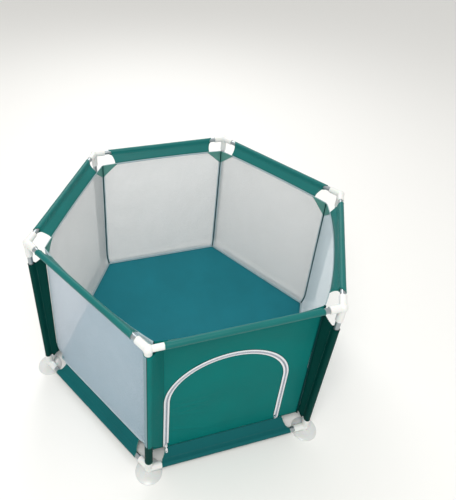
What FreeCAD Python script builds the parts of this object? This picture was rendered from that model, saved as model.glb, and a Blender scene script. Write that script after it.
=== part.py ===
import FreeCAD, Part
import math
import os

# Hexagonal baby playpen: a knock-down steel tube frame with moulded corner connectors and
# suction feet, and a sewn bag of mesh walls, floor and zipped door hung inside it.
# Millimetres, +Z up, the ground at z = 0, the door facing -Y. Origin under the middle.

V = FreeCAD.Vector

# --- driving dimensions ---
side = 600.0              # corner to corner along a rail, and centre to corner
rail_low = 24.0           # height of the bottom rails' axis
rail_top = 679.0          # height of the top rails' axis
tube_radius = 9.0
tube_wall = 1.0

socket_radius = 12.5
socket_reach = 46.0       # from the corner axis to a socket's mouth
post_socket_reach = 58.0  # the same on a top connector's post arm
slim_socket_radius = 10.2
bore_clearance = 0.05
tube_stop = 16.0          # a tube's end stands this far from the corner axis
knuckle_radius = 15.0
mouth_round = 1.5

foot_radius = 47.5
foot_rim = 3.0            # thickness of the foot's rim
foot_top = 11.0           # height of the foot's crown
foot_flat = 14.0          # radius of the flat crown under the connector
foot_skin = 2.4
stem_radius = 5.0
stem_depth = 7.0

cloth = 1.2               # thickness of the bag's coated fabric
net = 1.0                 # thickness of the mesh walls
sleeve_gap = 0.3          # between a tube and its sleeve
sleeve_radius = 11.2
wide_sleeve_radius = 13.6     # the front left post's sleeve, which also covers its socket
post_sleeve_low = 48.0        # from the bottom rails' axis up to the post sleeves
post_sleeve_drop = 96.0       # from the top rails' axis down to the post sleeves
wide_sleeve_drop = 18.5
seam_half_gap = 1.2       # from a corner seam's plane to each wall's edge
seam_step = 1.8           # from a wall's middle to the start of the band sewn to it

wall_top = (546.0, 645.0)     # corner radius and height of the walls' top seam
wall_low = (559.0, 104.0)     # where the walls start to turn in to the floor
wall_floor = (546.0, 64.0)    # the floor seam
door_wall_foot = (556.0, 62.0)
left_wall_foot = (565.0, 62.0) # the front left wall, which the lower sleeve pulls out

rail_bare = 65.0              # from a corner to the start of a rail's sleeve
rail_bare_near = 48.0         # the same at the front side's left end
corner_bite_centre = 51.0     # the bands' ends are cut by a cylinder this far inside the
corner_bite_radius = 59.5     # corner, and of this radius

floor_thickness = 3.0
floor_clearance = 1.2

# --- doorway, in the door wall's own plane: x to the right, y up from its lower edge ---
arch_middle = -20.0
arch_half_width = 210.0
arch_spring = 262.0
arch_rise = 180.0
door_line = 20.0          # height of the line that the door folds on
fold_gap = 0.3
slot_foot = 2.0           # the panel is slit under the zip's legs down to this height
fabric_setback = 4.0      # from the zip's centre line to each fabric edge
tape_half_width = 9.5
zip_half_gap = 0.6
coil_half_width = 3.0
tape_thickness = 0.8
coil_height = 1.6         # above the fabric's face
stop_height = 2.6

slider_width = 11.0
slider_length = 12.0
slider_low = 4.0
slider_plate = 1.4
slider_clearance = 0.4
slider_ear_height = 3.6
pull_pin_radius = 1.0
pull_clearance = 0.08
pull_eye_radius = 2.1
pull_width = 8.0
pull_length = 24.0
pull_thickness = 1.4
pull_lean = 26.0          # degrees outward from hanging straight down

gusset_along = 62.0
gusset_down = 58.0
gusset_thickness = 0.6

corner_names = ["front_left", "front_right", "right", "back_right", "back_left", "left"]
side_names = ["front", "front_right", "back_right", "back", "back_left", "front_left"]

half_cloth = cloth / 2
half_side = side / 2
apothem = side * math.cos(math.radians(30))
up_z = V(0, 0, 1)


def corner_turn(index):
    """Turn about the object's axis from the corner on +X to this corner."""
    return -120 + 60 * index


def turned(shape, degrees):
    copy = shape.copy()
    copy.rotate(V(0, 0, 0), up_z, degrees)
    return copy


def to_apothem(corner_radius):
    return corner_radius * math.cos(math.radians(30))


def save(shape, name):
    if not shape.isValid():
        raise ValueError(name + " is not a valid solid")
    shape.exportStep(os.path.join("parts", name + ".step"))
    print(name, len(shape.Solids), "solid", round(shape.Volume / 1000, 2), "cm3")


def prism(points, direction):
    """The solid that a closed flat outline sweeps along a direction."""
    return Part.Face(Part.makePolygon(points + points[:1])).extrude(direction)


def thick_line(points, thickness):
    """A closed outline round an open polyline in the YZ plane, half the thickness each side."""
    left, right = [], []
    for i, p in enumerate(points):
        before = points[max(i - 1, 0)]
        after = points[min(i + 1, len(points) - 1)]
        first = (p - before).normalize() if i else (after - p).normalize()
        second = (after - p).normalize() if i < len(points) - 1 else first
        middle = (first + second).normalize()
        reach = thickness / 2 / max(middle.dot(first), 0.2)
        off = V(0, -middle.z, middle.y) * reach
        left.append(p + off)
        right.append(p - off)
    return left + right[::-1]


# --- the tube frame ---

def tube(start, direction, length):
    outer = Part.makeCylinder(tube_radius, length, start, direction)
    return outer.cut(Part.makeCylinder(tube_radius - tube_wall, length, start, direction))


def rail_tube(height):
    """A rail of the front side, along X."""
    length = side - 2 * tube_stop
    return tube(V(-length / 2, -apothem, height), V(1, 0, 0), length)


def post_tube():
    """The post of the corner on +X."""
    return tube(V(side, 0, rail_low + tube_stop), up_z, rail_top - rail_low - 2 * tube_stop)


def socket(direction, radius, end):
    """A closed arm from the corner's centre with a rounded mouth, along a direction."""
    r, turn = radius, min(mouth_round, radius - tube_radius - 0.4)
    swing = turn * (1 - math.cos(math.radians(45)))
    outline = Part.Wire([
        Part.LineSegment(V(0, 0, 0), V(r, 0, 0)).toShape(),
        Part.LineSegment(V(r, 0, 0), V(r, 0, end - turn)).toShape(),
        Part.Arc(V(r, 0, end - turn), V(r - swing, 0, end - swing),
                 V(r - turn, 0, end)).toShape(),
        Part.LineSegment(V(r - turn, 0, end), V(0, 0, end)).toShape(),
        Part.LineSegment(V(0, 0, end), V(0, 0, 0)).toShape(),
    ])
    arm = Part.Face(outline).revolve(V(0, 0, 0), up_z, 360)
    arm.Placement = FreeCAD.Placement(V(0, 0, 0), FreeCAD.Rotation(up_z, direction))
    return arm


def connector(height, post_direction, slim_arm=None, stem=False):
    """Three-way moulded corner at +X: two rail sockets and a post socket round a knuckle.
    slim_arm is the number of a rail arm with a thinner wall; stem adds the foot's pin."""
    rail_arms = [V(-0.5, -math.cos(math.radians(30)), 0), V(-0.5, math.cos(math.radians(30)), 0)]
    body = Part.makeSphere(knuckle_radius)
    for number, direction in enumerate(rail_arms):
        radius = slim_socket_radius if number == slim_arm else socket_radius
        body = body.fuse(socket(direction, radius, socket_reach))
    post_reach = socket_reach if stem else post_socket_reach
    body = body.fuse(socket(post_direction, socket_radius, post_reach))
    if stem:
        seat = foot_top - height
        body = body.fuse(Part.makeCylinder(foot_flat - 1, -seat, V(0, 0, seat)))
        under = V(-knuckle_radius, -knuckle_radius, seat - knuckle_radius)
        body = body.cut(Part.makeBox(2 * knuckle_radius, 2 * knuckle_radius, knuckle_radius, under))
        body = body.fuse(Part.makeCylinder(stem_radius, stem_depth, V(0, 0, seat - stem_depth)))
    body = body.removeSplitter()
    for direction in rail_arms + [post_direction]:
        start = direction * (tube_stop - 0.3)
        body = body.cut(Part.makeCylinder(tube_radius + bore_clearance, post_socket_reach,
                                          start, direction))
    body.translate(V(side, 0, height))
    return body


def suction_foot():
    """A thin domed cup with a flat rim on the ground and a boss that takes the connector's stem."""
    r, t = foot_radius, foot_skin
    outer = [V(r, 0, 0), V(r - 0.6, 0, foot_rim), V(r * 0.8, 0, foot_top * 0.62),
             V(r * 0.52, 0, foot_top * 0.9), V(foot_flat, 0, foot_top)]
    inner = [V(stem_radius + t + 2, 0, foot_top - t - 2), V(r * 0.5, 0, foot_top * 0.9 - t),
             V(r * 0.78, 0, foot_top * 0.62 - t), V(r - 7, 0, 0)]
    dome = Part.BSplineCurve()
    dome.interpolate(outer[1:])
    vault = Part.BSplineCurve()
    vault.interpolate(inner)
    floor_of_boss = foot_top - stem_depth - t
    corner_points = [outer[-1], V(0, 0, foot_top), V(0, 0, floor_of_boss),
                     V(stem_radius + t + 2, 0, floor_of_boss), inner[0]]
    edges = [Part.LineSegment(outer[0], outer[1]).toShape(), dome.toShape()]
    edges += [Part.LineSegment(a, b).toShape() for a, b in zip(corner_points, corner_points[1:])]
    edges += [vault.toShape(), Part.LineSegment(inner[-1], outer[0]).toShape()]
    cup = Part.Face(Part.Wire(edges)).revolve(V(0, 0, 0), up_z, 360)
    hole = Part.makeCylinder(stem_radius + bore_clearance, stem_depth + 0.2,
                             V(0, 0, foot_top - stem_depth - 0.2))
    cup = cup.cut(hole)
    cup.translate(V(side, 0, 0))
    return cup


# --- the sewn bag ---

def wedge(half_gap):
    """The front sixth of the object's plan, less a gap along each corner seam."""
    reach = 2 * side
    tan30 = math.tan(math.radians(30))
    lift = half_gap / math.sin(math.radians(30))
    points = [V(0, -lift, 0), V(reach * tan30, -lift - reach, 0),
              V(-reach * tan30, -lift - reach, 0)]
    return prism(points, V(0, 0, 2 * side))


def corner_bites(shape, bare):
    """Cuts the curved ends that leave both of the front side's connectors bare, this far
    from the left and from the right corner."""
    for turn, end in zip((-120, -60), bare):
        bite = Part.makeCylinder(end, 2 * side, V(side, 0, 0))
        inner_radius = corner_bite_radius - rail_bare + end
        inner = Part.makeCylinder(inner_radius, 2 * side, V(side - corner_bite_centre, 0, 0))
        shape = shape.cut(turned(bite.fuse(inner), turn))
    return shape


def rail_sleeve(height, seam, bare):
    """The cloth round the front side's rail and its band to a seam (apothem, height)."""
    axis = V(0, -apothem, height)
    seam_point = V(0, -seam[0], seam[1])
    toward = (axis - seam_point).normalize()
    outline = thick_line([seam_point + toward * seam_step, axis - toward * (tube_radius + 1)],
                         cloth)
    start = V(-half_side, 0, 0)
    band = prism([start + p for p in outline], V(side, 0, 0))
    ring = Part.makeCylinder(sleeve_radius, side, start + axis, V(1, 0, 0))
    bore = Part.makeCylinder(tube_radius + sleeve_gap, side, start + axis, V(1, 0, 0))
    sleeve = band.fuse(ring).cut(bore).common(wedge(seam_half_gap))
    return corner_bites(sleeve, bare).removeSplitter()


def mesh_wall(corners):
    """A mesh wall on the front side, through these corner radii and heights."""
    profile = [V(0, -to_apothem(r), z) for r, z in corners]
    start = V(-side, 0, 0)
    sheet = prism([start + p for p in thick_line(profile, net)], V(2 * side, 0, 0))
    return sheet.common(wedge(seam_half_gap))


def arc_edge(first, middle, last):
    return Part.Arc(V(first[0], 0, first[1]), V(middle[0], 0, middle[1]),
                    V(last[0], 0, last[1])).toShape()


def line_edge(first, last):
    return Part.LineSegment(V(first[0], 0, first[1]), V(last[0], 0, last[1])).toShape()


def post_sleeve(wide=False):
    """The cloth round the post at +X and its band, radial, to the corner seam. The wide one
    reaches up over the post's socket."""
    radius, gap = sleeve_radius, sleeve_gap
    seam_top, seam_low = (wall_top[0] + 1, 613.0), (wall_floor[0] + 1.5, 84.0)
    ring_top, ring_low = rail_top - post_sleeve_drop, rail_low + post_sleeve_low
    near_post, curve_middle, tip = side - tube_radius - 1, (568.0, 597.5), (586.0, 52.0)
    if wide:
        radius, gap = wide_sleeve_radius, socket_radius + 0.3 - tube_radius
        ring_top, near_post = rail_top - wide_sleeve_drop, side - socket_radius - 0.7
        seam_top, curve_middle = (wall_top[0] + 1, 630.0), (565.0, 654.0)
    edges = [
        line_edge(seam_low, (wall_low[0] + 1, wall_low[1])),
        line_edge((wall_low[0] + 1, wall_low[1]), seam_top),
        arc_edge(seam_top, curve_middle, (near_post, ring_top)),
        line_edge((near_post, ring_top), (near_post, ring_low)),
        line_edge((near_post, ring_low), (tip[0], ring_low)),
        line_edge((tip[0], ring_low), tip),
        arc_edge(tip, (570.0, 74.0), seam_low),
    ]
    band = Part.Face(Part.Wire(edges)).extrude(V(0, 1.8, 0))
    band.translate(V(0, -0.9, 0))
    height = ring_top - ring_low
    ring = Part.makeCylinder(radius, height, V(side, 0, ring_low))
    bore = Part.makeCylinder(tube_radius + gap, height, V(side, 0, ring_low))
    return band.fuse(ring).cut(bore).removeSplitter()


def floor_mat():
    """The floor: a hexagon whose front and front left edges run out to their walls."""
    edges = [to_apothem(door_wall_foot[0])] + [to_apothem(wall_floor[0])] * 4
    edges.append(to_apothem(left_wall_foot[0]) - 0.5)
    lines = [(math.radians(-90 + 60 * k), a - floor_clearance) for k, a in enumerate(edges)]
    points = []
    for (a1, d1), (a2, d2) in zip(lines, lines[1:] + lines[:1]):
        det = math.sin(a2 - a1)
        x = (d1 * math.sin(a2) - d2 * math.sin(a1)) / det
        y = (d2 * math.cos(a1) - d1 * math.cos(a2)) / det
        points.append(V(x, y, wall_floor[1] - floor_thickness))
    return prism(points, V(0, 0, floor_thickness))


def wall_plane(foot, head):
    """The placement of a front wall's own plane, x to the right and y up from its foot."""
    lean = math.degrees(math.atan2(foot[0] - head[0], head[1] - foot[1]))
    turn = FreeCAD.Rotation(V(1, 0, 0), 90 - lean)
    return FreeCAD.Placement(V(0, -foot[0], foot[1]), turn)


def corner_gussets(wall_foot):
    """The two triangles at the top corners of a front mesh wall, against its inner face."""
    foot = (to_apothem(wall_foot[0]), wall_foot[1])
    head = (to_apothem(wall_top[0]), wall_top[1])
    height = math.hypot(foot[0] - head[0], foot[1] - head[1])
    height -= seam_step
    corner = wall_top[0] / 2 - seam_half_gap - 1.5
    face = -net / 2 - 0.1 - gusset_thickness
    triangles = []
    for hand in (-1, 1):
        points = [V(hand * corner, height, face), V(hand * (corner - gusset_along), height, face),
                  V(hand * corner, height - gusset_down, face)]
        triangles.append(prism(points, V(0, 0, gusset_thickness)))
    gussets = Part.makeCompound(triangles)
    gussets.Placement = wall_plane(foot, head)
    return gussets


# --- door wall: all built in its own plane, then placed ---

door_foot = (to_apothem(door_wall_foot[0]), door_wall_foot[1])
door_head = (to_apothem(wall_top[0]), wall_top[1])
door_plane = wall_plane(door_foot, door_head)
zip_left = arch_middle - arch_half_width


def placed(shape):
    shape.Placement = door_plane.multiply(shape.Placement)
    return shape


def arch(offset, low, depth_from, depth_to):
    """An inverted U's whole inside, this far outside the zip's centre line, as a slab."""
    half, top = arch_half_width + offset, arch_rise + offset
    at = V(arch_middle, arch_spring, depth_from)
    ellipse = Part.Ellipse(at, max(half, top), min(half, top))
    crown = Part.ArcOfEllipse(ellipse, 0, math.pi).toShape()
    left, right = V(arch_middle - half, 0, depth_from), V(arch_middle + half, 0, depth_from)
    low_left, low_right = left + V(0, low, 0), right + V(0, low, 0)
    spring = V(0, arch_spring, 0)
    outline = Part.Wire([
        crown,
        Part.LineSegment(left + spring, low_left).toShape(),
        Part.LineSegment(low_left, low_right).toShape(),
        Part.LineSegment(low_right, right + spring).toShape(),
    ])
    return Part.Face(outline).extrude(V(0, 0, depth_to - depth_from))


def block(x_from, x_to, y_from, y_to, z_from, z_to):
    return Part.makeBox(x_to - x_from, y_to - y_from, z_to - z_from, V(x_from, y_from, z_from))


def front_panel():
    height = math.hypot(door_foot[0] - door_head[0], door_head[1] - door_foot[1])
    low, high = door_wall_foot[0] / 2 - 1.6, wall_top[0] / 2 - 1.6
    points = [V(-low, 0, -half_cloth), V(low, 0, -half_cloth),
              V(high, height, -half_cloth), V(-high, height, -half_cloth)]
    sheet = prism(points, V(0, 0, cloth))
    for centre in (zip_left, arch_middle + arch_half_width):
        sheet = sheet.cut(block(centre - fabric_setback, centre + fabric_setback,
                                slot_foot, door_line, -cloth, cloth))
    return sheet.cut(arch(fabric_setback, door_line - fold_gap, -cloth, cloth))


def door_flap():
    return arch(-fabric_setback, door_line + fold_gap, -half_cloth, half_cloth)


def tape_band(inner, outer, low):
    """Half a zip: the flat tape and the raised coil beside the zip's centre line."""
    near, far = min(inner, outer, key=abs), max(inner, outer, key=abs)
    coil_edge = math.copysign(coil_half_width, far)
    face, tape_face = half_cloth, half_cloth + tape_thickness
    coil_low, coil_top = -half_cloth, half_cloth + coil_height
    flat = arch(max(near, far), low, face, tape_face).cut(
        arch(min(near, far), low - 1, face - 1, tape_face + 1))
    coil = arch(max(near, coil_edge), low, coil_low, coil_top).cut(
        arch(min(near, coil_edge), low - 1, coil_low - 1, coil_top + 1))
    return flat.fuse(coil)


def zip_tape_panel():
    """The outer half of the zip, with both halves' lower ends below the fold line."""
    band = tape_band(zip_half_gap, tape_half_width, 0)
    coil_edge, coil_low, coil_top = coil_half_width, -half_cloth, half_cloth + coil_height
    face, tape_face = half_cloth, half_cloth + tape_thickness
    for hand, centre in ((1, zip_left), (-1, arch_middle + arch_half_width)):
        far, near = centre + hand * tape_half_width, centre + hand * zip_half_gap
        stub = block(min(far, near), max(far, near), 0, door_line - fold_gap, face, tape_face)
        bridge = block(centre - 2, centre + 2, 0, slider_low - 1, face, tape_face)
        edge = centre + hand * coil_edge
        coil = block(min(edge, near), max(edge, near), slider_low, door_line - fold_gap,
                     coil_low, coil_top)
        band = band.fuse(stub).fuse(bridge).fuse(coil)
    below_coil = block(-half_side, half_side, -1, slider_low - 0.8, tape_face, 2 * coil_top)
    behind_tape = block(-half_side, half_side, -1, slider_low - 0.8, 2 * coil_low, face)
    return band.cut(below_coil).cut(behind_tape).removeSplitter()


def zip_tape_door():
    band = tape_band(-zip_half_gap, -tape_half_width, door_line + fold_gap)
    return band.removeSplitter()


def zip_end_stops():
    """The metal staple at the foot of each leg of the zip."""
    face = half_cloth + tape_thickness
    stops = [block(c - 3, c + 3, 0.4, slider_low - 1, face, face + stop_height - 1)
             for c in (zip_left, arch_middle + arch_half_width)]
    return Part.makeCompound(stops)


front_plate_z = half_cloth + coil_height + slider_clearance
ear_top = front_plate_z + slider_plate + slider_ear_height
pull_axis = V(zip_left, slider_low + 5.5, ear_top - 1.4)
ear_inner = 2.6


def zip_slider():
    """Two plates either side of the coils, joined by a thin post between them, with two ears
    and a cross pin that the pull turns on."""
    x, y = zip_left, slider_low
    half, back = slider_width / 2, -half_cloth - slider_clearance
    front = block(x - half, x + half, y, y + slider_length,
                  front_plate_z, front_plate_z + slider_plate)
    rear = block(x - half, x + half, y, y + slider_length, back - slider_plate, back)
    plates = front.fuse(rear)
    corners = [e for e in plates.Edges
               if abs(e.tangentAt(e.FirstParameter).z) > 0.99]
    plates = plates.makeFillet(2.4, corners)
    post = block(x - 0.3, x + 0.3, y + 4, y + 8, back, front_plate_z)
    body = plates.fuse(post)
    for hand in (-1, 1):
        inner, outer = x + hand * ear_inner, x + hand * (ear_inner + 1.2)
        ear = block(min(inner, outer), max(inner, outer), y + 3.5, y + 7.5,
                    front_plate_z + slider_plate, ear_top)
        body = body.fuse(ear)
    pin = Part.makeCylinder(pull_pin_radius, 2 * ear_inner, pull_axis - V(ear_inner, 0, 0),
                            V(1, 0, 0))
    return body.fuse(pin).removeSplitter()


def pull_tab():
    """The pull: an eye round the slider's pin and a flat waisted tab with a hole."""
    eye_half = ear_inner - 0.4
    eye = Part.makeCylinder(pull_eye_radius, 2 * eye_half, V(-eye_half, 0, 0), V(1, 0, 0))
    bore = Part.makeCylinder(pull_pin_radius + pull_clearance, 2 * eye_half,
                             V(-eye_half, 0, 0), V(1, 0, 0))
    half, neck = pull_width / 2, eye_half - 0.2
    thick = pull_thickness / 2
    points = [V(-neck, 0, -thick), V(-neck, -6, -thick), V(-half, -9, -thick),
              V(-half, -pull_length + 3, -thick), V(-half + 3, -pull_length, -thick),
              V(half - 3, -pull_length, -thick), V(half, -pull_length + 3, -thick),
              V(half, -9, -thick), V(neck, -6, -thick), V(neck, 0, -thick)]
    tab = prism(points, V(0, 0, pull_thickness))
    hole = Part.makeCylinder(2.2, 4, V(0, -pull_length + 6, -2))
    pull = tab.fuse(eye).cut(bore).cut(hole).removeSplitter()
    wall_lean = 90 - math.degrees(door_plane.Rotation.Angle)
    pull.Placement = FreeCAD.Placement(pull_axis, FreeCAD.Rotation(V(1, 0, 0),
                                                                   -pull_lean + wall_lean))
    return pull


# --- the whole object ---

os.makedirs("parts", exist_ok=True)

for index, name in enumerate(corner_names):
    turn = corner_turn(index)
    slim = 1 if name == "front_left" else None
    save(turned(connector(rail_top, V(0, 0, -1), slim), turn), "top_connector_" + name)
    save(turned(connector(rail_low, up_z, stem=True), turn), "bottom_connector_" + name)
    save(turned(suction_foot(), turn), "suction_foot_" + name)
    save(turned(post_tube(), turn), "post_tube_" + name)

top_seam = (to_apothem(wall_top[0]), wall_top[1])
floor_seam = (to_apothem(wall_floor[0]), wall_floor[1])
left_foot = (to_apothem(left_wall_foot[0]), left_wall_foot[1])
bottom_sleeves = []
for index, name in enumerate(side_names):
    turn = 60 * index
    save(turned(rail_tube(rail_top), turn), "top_rail_tube_" + name)
    save(turned(rail_tube(rail_low), turn), "bottom_rail_tube_" + name)
    bare = (rail_bare_near if name == "front" else rail_bare, rail_bare)
    save(turned(rail_sleeve(rail_top, top_seam, bare), turn), "top_sleeve_" + name)
    lower_seam = {"front": door_foot, "front_left": left_foot}.get(name, floor_seam)
    bottom_sleeves.append(turned(rail_sleeve(rail_low, lower_seam, bare), turn))
    if name != "front":
        bent = (wall_top, left_wall_foot) if name == "front_left" else (wall_top, wall_low, wall_floor)
        save(turned(mesh_wall(bent), turn), "mesh_wall_" + name)

save(Part.makeCompound(bottom_sleeves), "bottom_sleeves")
post_sleeves = [turned(post_sleeve(name == "front_left"), corner_turn(i))
                for i, name in enumerate(corner_names)]
save(Part.makeCompound(post_sleeves), "post_sleeves")
gussets = [turned(corner_gussets(left_wall_foot if i == 5 else wall_low), 60 * i)
           for i in range(1, 6)]
save(Part.makeCompound(gussets), "corner_gussets")
save(floor_mat(), "floor_mat")
save(placed(front_panel()), "front_panel")
save(placed(door_flap()), "door_flap")
save(placed(zip_tape_panel()), "zip_tape_panel")
save(placed(zip_tape_door()), "zip_tape_door")
save(placed(zip_end_stops()), "zip_end_stops")
save(placed(zip_slider()), "zip_slider")
save(placed(pull_tab()), "pull_tab")

fold = door_plane.multVec(V(0, door_line, half_cloth + coil_height))
pin = door_plane.multVec(pull_axis)
rise = door_plane.Rotation.multVec(V(0, 1, 0))
print("door fold axis passes", fold, "slider runs along", rise, "pull pin at", pin)
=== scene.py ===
import math

import bpy
import numpy as np
from mathutils import Matrix, Vector, noise


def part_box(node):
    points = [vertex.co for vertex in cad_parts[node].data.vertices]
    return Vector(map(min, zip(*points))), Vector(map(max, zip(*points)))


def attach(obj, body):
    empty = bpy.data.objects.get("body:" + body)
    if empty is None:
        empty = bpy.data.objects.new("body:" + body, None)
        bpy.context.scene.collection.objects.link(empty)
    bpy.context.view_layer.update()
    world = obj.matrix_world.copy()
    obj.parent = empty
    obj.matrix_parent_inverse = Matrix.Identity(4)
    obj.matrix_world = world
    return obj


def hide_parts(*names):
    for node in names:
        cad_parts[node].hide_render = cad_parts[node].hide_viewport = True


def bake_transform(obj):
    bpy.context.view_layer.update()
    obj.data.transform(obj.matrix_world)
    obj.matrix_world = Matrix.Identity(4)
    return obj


# The playpen's looks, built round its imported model. Metres, +Z up, the door facing -Y.
# Side 0 is the front. Each side is made facing -Y and then turned about Z.

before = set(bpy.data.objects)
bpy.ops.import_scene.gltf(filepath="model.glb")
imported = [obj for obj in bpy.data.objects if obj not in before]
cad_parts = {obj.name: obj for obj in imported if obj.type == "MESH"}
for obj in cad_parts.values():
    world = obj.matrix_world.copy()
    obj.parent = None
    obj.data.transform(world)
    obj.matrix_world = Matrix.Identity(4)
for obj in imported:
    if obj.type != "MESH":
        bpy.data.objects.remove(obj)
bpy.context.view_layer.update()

CORNERS = ["front_left", "front_right", "right", "back_right", "back_left", "left"]
SIDES = ["front", "front_right", "back_right", "back", "back_left", "front_left"]
FRONT, FRONT_RIGHT, FRONT_LEFT = 0, 1, 5
COS30, TAN30 = math.cos(math.radians(30)), math.tan(math.radians(30))

# --- sizes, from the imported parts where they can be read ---
low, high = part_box("top_rail_tube_front")
RAIL_TOP, APOTHEM = (low.z + high.z) / 2, -(low.y + high.y) / 2
low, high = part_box("bottom_rail_tube_front")
RAIL_LOW = (low.z + high.z) / 2
SIDE = APOTHEM / COS30
FLOOR_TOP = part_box("floor_mat")[1].z

# A wall's section: corner radius and height of its top, its turn and its foot.
WALL_TOP, WALL_LOW, WALL_FLOOR = (0.546, 0.645), (0.559, 0.104), (0.546, 0.064)
DOOR_FOOT = (0.556, 0.062)
LEFT_LOW, LEFT_FOOT = (0.5640, 0.093), (0.565, 0.062)
SEAM_GAP = 0.0014                    # from a wall's end to the corner's middle plane
SEAM_OUT = 0.0008                    # from a wall's middle to a sleeve's seam on it
SLEEVE_R, WIDE_SLEEVE_R = 0.0107, 0.0132
LAYER = 0.00048                      # half the gap between a band's two layers
CLOTH, NET_CLOTH, PANEL_CLOTH, FLOOR_CLOTH = 0.0005, 0.0006, 0.0007, 0.0024    # thicknesses
HEM_CORD = 0.00095                   # radius of the binding on a rail sleeve's ends
HEM_WIDTH, HEM_THICKNESS = 0.0065, 0.0016
STITCH_LIFT = 0.0009                 # from a net's middle to the stitches on its hem
WALL_STEPS = 49                      # points along a wall
RAIL_BARE, RAIL_BARE_NEAR = 0.065, 0.048
BITE_IN, BITE_R = 0.051, 0.0595      # a band's end: a circle this far inside the corner
CORNER_DRAW = 0.006                  # the front left lower seam goes in this far at its corners
GATHER_X, GATHER_REACH = -0.13, 0.055                    # the front lower band's gathers
GUSSET_DOWN, GUSSET_WIDTH = 0.0600, 0.0635
TOP_BOW = (0.014, 0.028, 0.009, 0.009, 0.006, 0.019)     # how far each top seam is pulled out

ARCH_MIDDLE, ARCH_HALF, ARCH_SPRING, ARCH_RISE = -0.020, 0.210, 0.262, 0.180
DOOR_LINE = 0.020                    # the door's fold, above the wall's foot
FABRIC_SETBACK = 0.004               # from the zip's middle to the cloth on each side
PANEL_INSET = 0.0018                 # from the panel's edge to the wall's
TAPE_WIDTH = 0.0101
# The door's creases: height at x = -0.16, slope and strength.
DOOR_CREASES = ((0.250, -0.10, 0.5), (0.226, 0.04, 0.8), (0.196, -0.16, 0.7),
                (0.172, 0.10, 0.5), (0.085, 0.30, 1.0))
# The front cloth's margin: heights on the post and on the wall, its angles round the post and
# where it ends on the wall.
WRAP_LOW, WRAP_HIGH = 0.176, 0.657
WRAP_WALL_LOW, WRAP_WALL_HIGH = 0.066, 0.6445
WRAP_TURNS, WRAP_INNER_X = (-116, -38), -0.2415
PANEL_HEIGHT = math.hypot((DOOR_FOOT[0] - WALL_TOP[0]) * COS30, WALL_TOP[1] - DOOR_FOOT[1])
PANEL_UP = Vector((0, (DOOR_FOOT[0] - WALL_TOP[0]) * COS30, WALL_TOP[1] - DOOR_FOOT[1]))
PANEL_UP /= PANEL_HEIGHT
PANEL_OUT = Vector((0, -PANEL_UP.z, PANEL_UP.y))
PANEL_ORIGIN = Vector((0, -DOOR_FOOT[0] * COS30, DOOR_FOOT[1]))


# --- materials ---

def linear(rgb):
    """An sRGB colour, 0 to 255, as linear."""
    parts = (c / 255 / 12.92 if c <= 10 else ((c / 255 + 0.055) / 1.055) ** 2.4 for c in rgb)
    return tuple(parts) + (1,)


class Graph:
    """A material's nodes, with short ways to add and join them."""

    def __init__(self, name):
        self.material = bpy.data.materials.new(name)
        self.material.use_nodes = True
        self.nodes = self.material.node_tree.nodes
        self.links = self.material.node_tree.links
        self.shader = self.nodes["Principled BSDF"]
        self.output = self.nodes["Material Output"]

    def add(self, kind, inputs=None, **settings):
        node = self.nodes.new("ShaderNode" + kind)
        for key, value in settings.items():
            setattr(node, key, value)
        for key, value in (inputs or {}).items():
            self.put(node, key, value)
        return node

    def put(self, node, key, value):
        socket = node.inputs[key]
        if isinstance(value, bpy.types.NodeSocket):
            self.links.new(value, socket)
        elif isinstance(value, bpy.types.Node):
            self.links.new(value.outputs[0], socket)
        else:
            socket.default_value = value

    def math(self, operation, a, b=0.0, c=0.0):
        return self.add("Math", {0: a, 1: b, 2: c}, operation=operation).outputs[0]

    def surface(self, **inputs):
        for key, value in inputs.items():
            self.put(self.shader, key.replace("_", " "), value)

    def mix(self, share, a, b):
        node = self.add("Mix", data_type="RGBA")
        for key, value in ((0, share), (6, a), (7, b)):
            self.put(node, key, value)
        return node.outputs[2]

    def tones(self, share, rgb, dark, light):
        """A colour that goes from a darker to a lighter tone of itself."""
        return self.mix(share, shade(linear(rgb), dark), shade(linear(rgb), light))

    def cloth_place(self):
        """The cloth's own two coordinates, in metres."""
        place = self.add("SeparateXYZ", {0: self.add("UVMap", uv_map="cloth").outputs[0]})
        return place.outputs[0], place.outputs[1]

    def weave(self, pitch):
        """A plain weave's height, from -1 to 1."""
        turn = 2 * math.pi / pitch
        u, v = (self.math("SINE", self.math("MULTIPLY", c, turn)) for c in self.cloth_place())
        return self.math("MULTIPLY", u, v)

    def spots(self, scale, detail=2.0, roughness=0.5):
        place = self.add("TexCoord").outputs["Object"]
        return self.add("TexNoise", {"Vector": place, "Scale": scale, "Detail": detail,
                                     "Roughness": roughness}).outputs["Fac"]

    def bump(self, height, distance, strength=1.0, under=None):
        node = self.add("Bump", {"Height": height, "Distance": distance, "Strength": strength})
        if under is not None:
            self.put(node, "Normal", under)
        return node.outputs[0]

    def see_through(self, colour, solid, glow):
        """Cloth that shows what is behind it where solid is low, and glows with light."""
        through = self.add("BsdfTranslucent", {"Color": colour})
        body = self.add("MixShader", {0: glow, 1: self.shader, 2: through})
        clear = self.add("BsdfTransparent")
        self.put(self.output, "Surface", self.add("MixShader", {0: solid, 1: clear, 2: body}))


def shade(rgb, factor):
    """A linear colour, lighter or darker."""
    return tuple(min(1.0, c * factor) for c in rgb[:3]) + (1,)


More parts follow.
